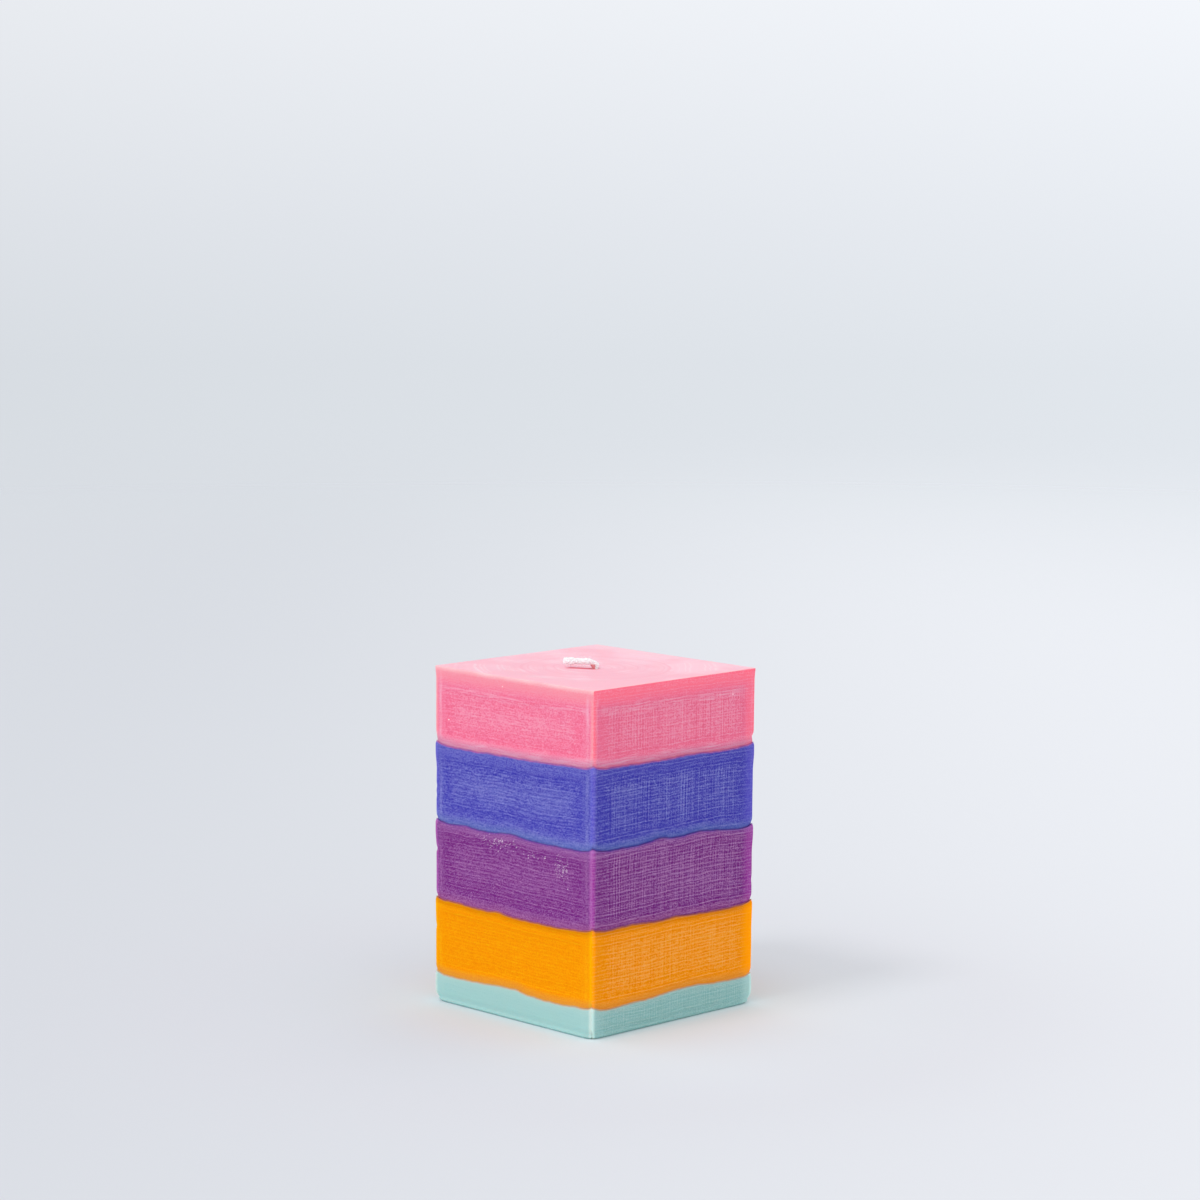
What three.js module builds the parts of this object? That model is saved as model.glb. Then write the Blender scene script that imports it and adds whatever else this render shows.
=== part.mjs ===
// A square pillar candle, cast in one mould as five pours of coloured wax, with a cotton wick
// down its middle that is bent over on the top. Each pour sets with a wavy surface that climbs
// in the corners and sinks in the middle, and the next pour takes the shape of that surface.
// Millimetres, +Z up. The origin is the middle of the base, on the surface it stands on.

import * as THREE from 'three';
import { mergeVertices } from 'three/addons/utils/BufferGeometryUtils.js';

// The block, and the thickness of each pour where it meets the walls
const blockSide = 66.5;
const mintThickness = 8.1;
const orangeThickness = 22.1;
const purpleThickness = 23.4;
const indigoThickness = 23.3;
const pinkThickness = 23.1;

// How a pour sets
const cornerLift = 1.3;
const cornerLiftReach = 2.2;
const middleSink = 1.6;
const middleSinkReach = 9;

// The walls, as depths inside the widest outline of the block
const verticalEdgeRadius = 0.6;
const wallInset = 0.28;
const pinkWallInset = 0.18;
const seamCornerInset = 0.36;
const seamCornerReach = 1.6;
const seamRounding = 0.8;

// Each pour flares a little towards its own surface, where the wax climbed the mould
const headInset = 0.08;
const headReach = 2.2;
const headFlare = 9;

// The shallow panel that the shrinking wax leaves in each wall of each coloured pour
const panelDepth = 0.12;
const panelSideMargin = 3;
const panelSlope = 1.2;
const panelLowerMargin = 2.4;
const panelUpperMargin = 3;
const pinkPanelUpperMargin = 6;

// The foot of the block, with the thin lip that the mould's joint leaves round it
const footInset = 0.8;
const footLipHeight = 0.8;
const footLipInset = 0.08;
const footGrooveHeight = 1.4;
const footGrooveInset = 0.3;
const footRise = 2.8;

// The top: a crisp flared rim, and a shallow round dish with a small well round the wick
const rimFlare = 3.6;
const rimRounding = 0.3;
const dishRadius = 26;
const dishDepth = 0.3;
const dishSlope = 1.5;
const wellRadius = 7;
const wellDepth = 0.25;

// The wick
const wickWidth = 2.3;
const wickNeckWidth = 1.25;
const wickTipWidth = 2.6;
const wickClearance = 0.25;
const wickBaseRecess = 0.5;
const wickNeckLean = 0.6;
const wickTailLength = 9.6;
const wickTailGap = 0.9;
const wickTailHeading = 225.4;

// How finely the curved faces are cut
const stationPitch = 4.5;
const edgeSteps = 3;
const channelSides = 12;
const wickSides = 12;
const wickBendSteps = 26;

const halfSide = blockSide / 2;
const blockHeight = mintThickness + orangeThickness + purpleThickness + indigoThickness + pinkThickness;
const channelRadius = wickWidth / 2 + wickClearance;

// Each swell is a place on a wall where the wax of a pour stood higher, or lower, than its level.
// Wall 0 is the one at -Y, and 1, 2 and 3 follow it anticlockwise, seen from above.
const mintSwells = [
  { wall: 0, along: -13, height: 0.25, reach: 8 },
  { wall: 0, along: -2, height: 0.85, reach: 8 },
  { wall: 0, along: 2.5, height: 0.4, reach: 3 },
  { wall: 0, along: 28, height: 0.4, reach: 5 },
  { wall: 1, along: -27, height: -0.3, reach: 6 },
  { wall: 1, along: 5, height: 1.1, reach: 13 },
  { wall: 2, along: 12, height: 0.7, reach: 9 },
  { wall: 3, along: -10, height: 0.8, reach: 11 },
];
const orangeSwells = [
  { wall: 0, along: -24, height: 0.5, reach: 9 },
  { wall: 0, along: -6, height: 0.5, reach: 3.5 },
  { wall: 0, along: 28, height: 0.4, reach: 6 },
  { wall: 1, along: -19, height: 0.75, reach: 10 },
  { wall: 1, along: 1, height: 0.5, reach: 6 },
  { wall: 1, along: 22, height: -0.3, reach: 10 },
  { wall: 2, along: -8, height: 0.6, reach: 8 },
  { wall: 3, along: 6, height: 0.5, reach: 7 },
];
const purpleSwells = [
  { wall: 0, along: -20, height: 0.6, reach: 3.5 },
  { wall: 0, along: -1, height: 0.8, reach: 6 },
  { wall: 1, along: -6, height: 0.9, reach: 5 },
  { wall: 1, along: 10, height: 0.8, reach: 7 },
  { wall: 1, along: 30, height: -0.9, reach: 8 },
  { wall: 2, along: 4, height: 0.7, reach: 9 },
  { wall: 3, along: -14, height: 0.6, reach: 6 },
];
const indigoSwells = [
  { wall: 0, along: -20, height: -0.3, reach: 12 },
  { wall: 0, along: 24, height: 0.4, reach: 9 },
  { wall: 1, along: -20, height: 0.4, reach: 14 },
  { wall: 1, along: 6, height: 0.6, reach: 10 },
  { wall: 1, along: 28, height: 0.3, reach: 7 },
  { wall: 2, along: -15, height: 0.5, reach: 10 },
  { wall: 3, along: 10, height: -0.4, reach: 12 },
];

// A point at a distance along one wall, at a depth inside the block's widest outline
function wallPoint(wall, along, depth) {
  const point = new THREE.Vector2(along, depth - halfSide);
  return point.rotateAround(new THREE.Vector2(), wall * Math.PI / 2);
}

// The outline seen from above, anticlockwise, as points that each know the way out of the wax,
// their distance from the nearest vertical edge and where they lie on the panel
function blockOutline() {
  const flatHalf = halfSide - verticalEdgeRadius;
  const panelEdge = halfSide - panelSideMargin;
  const panelFloor = panelEdge - panelSlope;
  const middleSteps = Math.max(2, Math.ceil(2 * panelFloor / stationPitch));
  const alongs = [-flatHalf, -panelEdge];
  for (let i = 0; i <= middleSteps; i += 1) {
    alongs.push(THREE.MathUtils.lerp(-panelFloor, panelFloor, i / middleSteps));
  }
  alongs.push(panelEdge);
  const outline = [];
  for (let wall = 0; wall < 4; wall += 1) {
    const wallOut = wallPoint(wall, 0, -1).sub(wallPoint(wall, 0, 0));
    for (const along of alongs) {
      outline.push({
        place: wallPoint(wall, along, 0),
        out: wallOut,
        fromEdge: halfSide - Math.abs(along),
        panel: Math.abs(along) <= panelFloor ? 1 : 0,
      });
    }
    const arcCentre = wallPoint(wall, flatHalf, verticalEdgeRadius);
    for (let i = 0; i < edgeSteps; i += 1) {
      const out = wallOut.clone().rotateAround(new THREE.Vector2(), i / edgeSteps * Math.PI / 2);
      const place = arcCentre.clone().addScaledVector(out, verticalEdgeRadius);
      outline.push({ place, out, fromEdge: 0, panel: 0 });
    }
  }
  return outline;
}

const outline = blockOutline();

// One loop of the walls: inset all round, more near the vertical edges, and sunk at the panels
function wallLoop({ inset, cornerInset = 0, panel = 0 }, heightAt) {
  return outline.map((point, index) => {
    const nearCorner = Math.exp(-point.fromEdge / seamCornerReach);
    const depth = inset + cornerInset * nearCorner + panel * panelDepth * point.panel;
    const place = point.place.clone().addScaledVector(point.out, -depth);
    return new THREE.Vector3(place.x, place.y, heightAt(place.x, place.y, index));
  });
}

function roundLoop(radius, sides, heightAt) {
  const loop = [];
  for (let i = 0; i < sides; i += 1) {
    const angle = (i / sides - 3 / 8) * 2 * Math.PI;
    const x = radius * Math.cos(angle);
    const y = radius * Math.sin(angle);
    loop.push(new THREE.Vector3(x, y, heightAt(x, y)));
  }
  return loop;
}

// A band between two loops with the same number of points, facing out where it climbs
function bandFaces(lower, upper) {
  const faces = [];
  for (let i = 0; i < lower.length; i += 1) {
    const next = (i + 1) % lower.length;
    faces.push([lower[i], lower[next], upper[next]], [lower[i], upper[next], upper[i]]);
  }
  return faces;
}

// The angles of a loop's points round the axis, growing from its first point to its first again
function turnAngles(loop) {
  const first = Math.atan2(loop[0].y, loop[0].x);
  const angles = loop.map((p) => THREE.MathUtils.euclideanModulo(Math.atan2(p.y, p.x) - first, 2 * Math.PI));
  angles[0] = 0;
  return [...angles, 2 * Math.PI].map((angle) => angle + first);
}

// Upward faces between an outer loop and an inner one with another number of points
function ringFaces(outer, inner) {
  const outerAngles = turnAngles(outer);
  const innerAngles = turnAngles(inner);
  const faces = [];
  let o = 0;
  let i = 0;
  while (o < outer.length || i < inner.length) {
    const outerPoint = outer[o % outer.length];
    const innerPoint = inner[i % inner.length];
    const outerTurns = i === inner.length || (o < outer.length && outerAngles[o + 1] <= innerAngles[i + 1]);
    if (outerTurns) {
      o += 1;
      faces.push([outerPoint, outer[o % outer.length], innerPoint]);
    } else {
      i += 1;
      faces.push([outerPoint, inner[i % inner.length], innerPoint]);
    }
  }
  return faces;
}

// A surface across the whole block, from the walls to the wick's channel. Two pours that meet
// there share it point for point.
function crossSurface(heightAt, edge, rings) {
  const loops = [wallLoop(edge, heightAt)];
  for (const ring of rings) {
    loops.push(roundLoop(ring.radius, ring.sides, heightAt));
  }
  loops.push(roundLoop(channelRadius, channelSides, heightAt));
  const faces = [];
  for (let i = 0; i + 1 < loops.length; i += 1) {
    faces.push(...ringFaces(loops[i], loops[i + 1]));
  }
  return { faces, edge: loops[0], channel: loops[loops.length - 1] };
}

// The set surface of a pour
function pourHeight(level, swells) {
  const places = swells.map((swell) => wallPoint(swell.wall, swell.along, 0));
  return (x, y) => {
    const fromWall = halfSide - Math.max(Math.abs(x), Math.abs(y));
    const fromCorner = Math.hypot(halfSide - Math.abs(x), halfSide - Math.abs(y));
    let height = level + cornerLift * Math.exp(-fromCorner / cornerLiftReach);
    height -= middleSink * (1 - Math.exp(-fromWall / middleSinkReach));
    swells.forEach((swell, i) => {
      const distance = Math.hypot(x - places[i].x, y - places[i].y);
      height += swell.height * Math.exp(-((distance / swell.reach) ** 2));
    });
    return height;
  };
}

function pourSurface(level, swells) {
  const edge = { inset: headInset, cornerInset: seamCornerInset };
  const outerRing = halfSide - middleSinkReach;
  const rings = [
    { radius: outerRing, sides: 48 },
    { radius: outerRing / 2, sides: 24 },
  ];
  return crossSurface(pourHeight(level, swells), edge, rings);
}

// The finished top, flat at its rim
function topSurface() {
  const heightAt = (x, y) => {
    const radius = Math.hypot(x, y);
    const dish = 1 - THREE.MathUtils.smoothstep(radius, dishRadius - dishSlope, dishRadius + dishSlope);
    const well = 1 - THREE.MathUtils.smoothstep(radius, channelRadius, wellRadius);
    return blockHeight - dishDepth * dish - wellDepth * well;
  };
  const rings = [
    { radius: dishRadius + dishSlope, sides: 48 },
    { radius: dishRadius, sides: 48 },
    { radius: dishRadius - dishSlope, sides: 48 },
    { radius: wellRadius, sides: 24 },
    { radius: (wellRadius + channelRadius) / 2, sides: 24 },
  ];
  return crossSurface(heightAt, { inset: rimRounding }, rings);
}

function footSurface() {
  return crossSurface(() => 0, { inset: footInset }, [{ radius: halfSide / 2, sides: 24 }]);
}

function closedGeometry(faces) {
  const positions = faces.flat().flatMap((point) => [point.x, point.y, point.z]);
  const soup = new THREE.BufferGeometry();
  soup.setAttribute('position', new THREE.Float32BufferAttribute(positions, 3));
  const geometry = mergeVertices(soup, 1e-5);
  geometry.computeVertexNormals();
  return geometry;
}

// One pour: its walls between two surfaces, the two surfaces themselves and the wick's channel.
// A row of the walls stands a rise above the lower surface or a drop below the upper one.
function pourGeometry(lower, upper, rows) {
  const loops = [lower.edge];
  for (const row of rows) {
    loops.push(wallLoop(row, (x, y, index) => {
      const isFromFoot = row.rise !== undefined;
      return isFromFoot ? lower.edge[index].z + row.rise : upper.edge[index].z - row.drop;
    }));
  }
  loops.push(upper.edge);
  const faces = [...upper.faces, ...lower.faces.map(([a, b, c]) => [a, c, b])];
  for (let i = 0; i + 1 < loops.length; i += 1) {
    faces.push(...bandFaces(loops[i], loops[i + 1]));
  }
  faces.push(...bandFaces(upper.channel, lower.channel));
  return closedGeometry(faces);
}

// The walls above a seam: notched at the vertical edges, then the raised border, then the panel
function footRows(inset) {
  return [
    { rise: seamRounding, inset, cornerInset: seamCornerInset / 2 },
    { rise: panelLowerMargin, inset },
    { rise: panelLowerMargin + panelSlope, inset, panel: 1 },
  ];
}

// The walls below a seam, where the pour has flared out again
function headRows() {
  return [
    { drop: headReach, inset: headInset },
    { drop: seamRounding, inset: headInset, cornerInset: seamCornerInset / 4 },
  ];
}

function mintRows() {
  return [
    { rise: footLipHeight, inset: footLipInset },
    { rise: footGrooveHeight, inset: footGrooveInset },
    { rise: footRise, inset: headInset },
    ...headRows(),
  ];
}

function colourRows() {
  return [
    ...footRows(wallInset),
    { drop: headFlare, inset: wallInset, panel: 1 },
    { drop: panelUpperMargin + panelSlope, inset: (wallInset + headInset) / 2, panel: 1 },
    ...headRows(),
  ];
}

function pinkRows() {
  return [
    ...footRows(pinkWallInset),
    { drop: pinkPanelUpperMargin + panelSlope, inset: pinkWallInset, panel: 1 },
    { drop: pinkPanelUpperMargin, inset: pinkWallInset },
    { drop: rimFlare, inset: pinkWallInset },
    { drop: rimRounding, inset: 0 },
  ];
}

// The wick's middle line lies in one upright plane: up the channel, out at the neck, then over.
// Each station gives how far along the heading and how high it is, and its two widths.
function wickStations(waxHeight) {
  const tailHeight = waxHeight + wickTailGap + wickWidth / 2;
  const neckTop = THREE.MathUtils.lerp(waxHeight, tailHeight, 0.45);
  return [
    { along: 0, up: waxHeight - wickWidth, inPlane: wickWidth, across: wickWidth },
    { along: -wickNeckLean / 2, up: waxHeight - wickNeckWidth / 4, inPlane: wickNeckWidth, across: wickWidth },
    { along: -wickNeckLean, up: neckTop, inPlane: wickNeckWidth, across: wickWidth },
    { along: -wickNeckLean / 3, up: tailHeight - wickWidth / 6, inPlane: wickNeckWidth * 1.2, across: wickWidth },
    { along: wickWidth / 3, up: tailHeight, inPlane: wickWidth * 0.9, across: wickWidth },
    { along: wickWidth, up: tailHeight, inPlane: wickWidth, across: wickWidth },
    { along: wickTailLength / 2, up: tailHeight, inPlane: wickWidth, across: wickWidth },
    { along: wickTailLength * 0.85, up: tailHeight, inPlane: wickTipWidth, across: wickTipWidth },
    { along: wickTailLength, up: tailHeight, inPlane: wickTipWidth * 0.9, across: wickTipWidth * 0.9 },
  ];
}

// A ring of the wick, square to its middle line
function wickRing(place, direction, widths, heading, across) {
  const inPlane = new THREE.Vector3().crossVectors(across, direction);
  const ring = [];
  for (let i = 0; i < wickSides; i += 1) {
    const angle = i / wickSides * 2 * Math.PI;
    const point = heading.clone().multiplyScalar(place.x);
    point.z = place.y;
    point.addScaledVector(inPlane, widths.x / 2 * Math.cos(angle));
    point.addScaledVector(across, widths.y / 2 * Math.sin(angle));
    ring.push(point);
  }
  return ring;
}

function fanFaces(ring) {
  const centre = ring.reduce((sum, point) => sum.add(point), new THREE.Vector3()).divideScalar(ring.length);
  return ring.map((point, i) => [centre, point, ring[(i + 1) % ring.length]]);
}

function wickGeometry(waxHeight) {
  const angle = THREE.MathUtils.degToRad(wickTailHeading);
  const heading = new THREE.Vector3(Math.cos(angle), Math.sin(angle), 0);
  const across = new THREE.Vector3(-heading.y, heading.x, 0);
  const stations = wickStations(waxHeight);
  const line = new THREE.CatmullRomCurve3(stations.map((s) => new THREE.Vector3(s.along, s.up, 0)));
  const widths = new THREE.CatmullRomCurve3(stations.map((s) => new THREE.Vector3(s.inPlane, s.across, 0)));
  const upright = new THREE.Vector3(0, 0, 1);
  const rings = [wickRing(new THREE.Vector3(0, wickBaseRecess, 0), upright, widths.points[0], heading, across)];
  for (let i = 0; i <= wickBendSteps; i += 1) {
    const share = i / wickBendSteps;
    const slope = line.getTangent(share);
    const direction = heading.clone().multiplyScalar(slope.x);
    direction.z = slope.y;
    rings.push(wickRing(line.getPoint(share), direction, widths.getPoint(share), heading, across));
  }
  const faces = [];
  for (let i = 0; i + 1 < rings.length; i += 1) {
    faces.push(...bandFaces(rings[i], rings[i + 1]));
  }
  faces.push(...fanFaces(rings[0]).map(([a, b, c]) => [a, c, b]));
  faces.push(...fanFaces(rings[rings.length - 1]));
  return closedGeometry(faces);
}

function addPiece(name, geometry, color, roughness) {
  const material = new THREE.MeshStandardMaterial({ color, roughness, metalness: 0 });
  const mesh = new THREE.Mesh(geometry, material);
  mesh.name = name;
  candle.add(mesh);
}

const orangeLevel = mintThickness + orangeThickness;
const purpleLevel = orangeLevel + purpleThickness;
const indigoLevel = purpleLevel + indigoThickness;
const foot = footSurface();
const mintTop = pourSurface(mintThickness, mintSwells);
const orangeTop = pourSurface(orangeLevel, orangeSwells);
const purpleTop = pourSurface(purpleLevel, purpleSwells);
const indigoTop = pourSurface(indigoLevel, indigoSwells);
const pinkTop = topSurface();

const candle = new THREE.Group();
candle.name = 'candle';
addPiece('mint_base_layer', pourGeometry(foot, mintTop, mintRows()), 0xa3d2cc, 0.5);
addPiece('orange_layer', pourGeometry(mintTop, orangeTop, colourRows()), 0xff9a0a, 0.5);
addPiece('purple_layer', pourGeometry(orangeTop, purpleTop, colourRows()), 0x87388f, 0.5);
addPiece('indigo_layer', pourGeometry(purpleTop, indigoTop, colourRows()), 0x5450bc, 0.5);
addPiece('pink_top_layer', pourGeometry(indigoTop, pinkTop, pinkRows()), 0xfa7d9c, 0.5);
addPiece('wick', wickGeometry(pinkTop.channel[0].z), 0xf6f3f0, 0.9);

export default candle;
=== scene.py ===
import math
import random

import bmesh
import bpy
import numpy as np
from mathutils import Matrix, Vector, noise


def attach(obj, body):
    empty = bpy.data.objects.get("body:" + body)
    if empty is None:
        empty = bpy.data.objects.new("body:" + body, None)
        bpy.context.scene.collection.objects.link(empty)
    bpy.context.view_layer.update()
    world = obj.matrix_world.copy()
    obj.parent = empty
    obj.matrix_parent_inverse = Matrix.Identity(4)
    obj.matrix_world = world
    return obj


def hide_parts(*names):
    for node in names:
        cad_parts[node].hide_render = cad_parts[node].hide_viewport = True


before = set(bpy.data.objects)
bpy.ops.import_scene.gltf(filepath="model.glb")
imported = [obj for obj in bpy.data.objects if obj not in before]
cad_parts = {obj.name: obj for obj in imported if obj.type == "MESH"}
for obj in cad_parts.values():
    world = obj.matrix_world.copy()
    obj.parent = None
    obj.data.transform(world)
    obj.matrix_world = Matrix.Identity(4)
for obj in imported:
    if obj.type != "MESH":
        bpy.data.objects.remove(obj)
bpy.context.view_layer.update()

mm = 0.001
random.seed(66)
print("frame loaded:", len(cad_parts), "nodes")

# Colours are written as the 0 to 255 values that they show, and used as linear light


def shown(red, green, blue):
    linear = []
    for value in (red, green, blue):
        share = value / 255
        linear.append(share / 12.92 if share <= 0.04045 else ((share + 0.055) / 1.055) ** 2.4)
    return (*linear, 1.0)


# Sums on sockets write their own Math nodes


class Socket:
    def __init__(self, shader, link):
        self.shader = shader
        self.link = link

    def reckon(self, operation, first, second):
        return self.shader.node("ShaderNodeMath", {"operation": operation}, {0: first, 1: second})

    def __add__(self, other):
        return self.reckon("ADD", self, other)

    def __radd__(self, other):
        return self.reckon("ADD", other, self)

    def __sub__(self, other):
        return self.reckon("SUBTRACT", self, other)

    def __rsub__(self, other):
        return self.reckon("SUBTRACT", other, self)

    def __mul__(self, other):
        return self.reckon("MULTIPLY", self, other)

    def __rmul__(self, other):
        return self.reckon("MULTIPLY", other, self)

    def __truediv__(self, other):
        return self.reckon("DIVIDE", self, other)

    def __pow__(self, other):
        return self.reckon("POWER", self, other)


class Shader:
    def __init__(self, owner):
        owner.use_nodes = True
        self.tree = owner.node_tree
        self.tree.nodes.clear()

    def node(self, kind, settings=None, inputs=None, output=0):
        made = self.tree.nodes.new(kind)
        for key, setting in (settings or {}).items():
            if key == "stops":
                while len(made.color_ramp.elements) < len(setting):
                    made.color_ramp.elements.new(0.5)
                for stop, (place, colour) in zip(made.color_ramp.elements, setting):
                    stop.position = place
                    stop.color = colour
            else:
                setattr(made, key, setting)
        for key, value in (inputs or {}).items():
            if isinstance(value, Socket):
                self.tree.links.new(value.link, made.inputs[key])
            else:
                made.inputs[key].default_value = value
        return Socket(self, made.outputs[output]) if len(made.outputs) else made

    def attribute(self, name):
        return self.node("ShaderNodeAttribute", {"attribute_name": name}, output=2)

    def objectPlace(self):
        return self.node("ShaderNodeTexCoord", output=3)

    def part(self, vector, axis):
        return self.node("ShaderNodeSeparateXYZ", inputs={0: vector}, output=axis)

    def dot(self, vector, direction):
        return self.node("ShaderNodeVectorMath", {"operation": "DOT_PRODUCT"},
                         {0: vector, 1: direction}, output=1)

    def length(self, vector):
        return self.node("ShaderNodeVectorMath", {"operation": "LENGTH"}, {0: vector}, output=1)

    def sine(self, value):
        return self.node("ShaderNodeMath", {"operation": "SINE"}, {0: value})

    def softLeast(self, first, second, softness):
        return self.node("ShaderNodeMath", {"operation": "SMOOTH_MIN"}, {0: first, 1: second, 2: softness})

    # Noise whose size is given in mm along X, Y and Z
    def noise(self, place, stretch, detail=2.0, roughness=0.5):
        sizes = [1 / (mm * length) for length in stretch]
        scaled = self.node("ShaderNodeMapping", inputs={"Vector": place, "Scale": sizes})
        return self.node("ShaderNodeTexNoise", {"noise_dimensions": "3D"}, {
            "Vector": scaled, "Scale": 1.0, "Detail": detail, "Roughness": roughness})

    def ease(self, value, start, end):
        return self.node("ShaderNodeMapRange", {"interpolation_type": "SMOOTHSTEP"},
                         {"Value": value, "From Min": start, "From Max": end})

    # 1 at a place, falling softly to 0 on both sides of it
    def line(self, value, place, width):
        away = self.node("ShaderNodeMath", {"operation": "ABSOLUTE"}, {0: value - place})
        return 1 - self.ease(away, 0.0, width)

    def mix(self, factor, first, second):
        return self.node("ShaderNodeMix", {"data_type": "RGBA"}, {0: factor, 6: first, 7: second}, output=2)

    def clamp(self, value):
        return self.node("ShaderNodeClamp", inputs={"Value": value})


# Wax

block = {
    "side": 66.5,
    "edgeRadius": 0.6,
    "columns": 96,
    "crowding": 0.74,           # how much closer the cuts are at the edges and the wick than on average
    "rowCrowding": 0.7,         # the same for the rows, near the seams
    "channelRadius": 1.4,
    "cornerLift": 1.3,          # a pour sets with a surface that climbs in the corners
    "cornerLiftReach": 2.2,
    "middleSink": 1.6,          # and sinks in the middle
    "middleSinkReach": 9.0,
    "notchInset": 0.34,         # how far a pour's lower corners draw in
    "notchReach": 1.6,
    "headInset": 0.24,          # how far a pour's upper corners draw in
    "headHeight": 0.7,
    "headSwellReach": (3, 9),   # below the head of a pour, where it starts and ends to flare less
    "panelDepth": 0.12,
    "panelSide": (2.2, 4.6),    # where the sunk panel starts and reaches its depth
    "panelFoot": (1.8, 3.8),    # the same, above the seam below it
    "panelHead": (2.4, 4.2),
    "ridgeHeight": 0.05,
    "wander": 0.06,             # slow unevenness of the walls
    "wanderSize": 9.0,
    "wanderFade": 1.5,          # it starts this far from a seam
    "stroke": 0.02,             # fine level strokes in the panels
    "strokeSize": (14, 14, 0.9),
    "capReach": 6,              # how far in from the walls a cap is drawn in with them
}
half = block["side"] / 2

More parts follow.
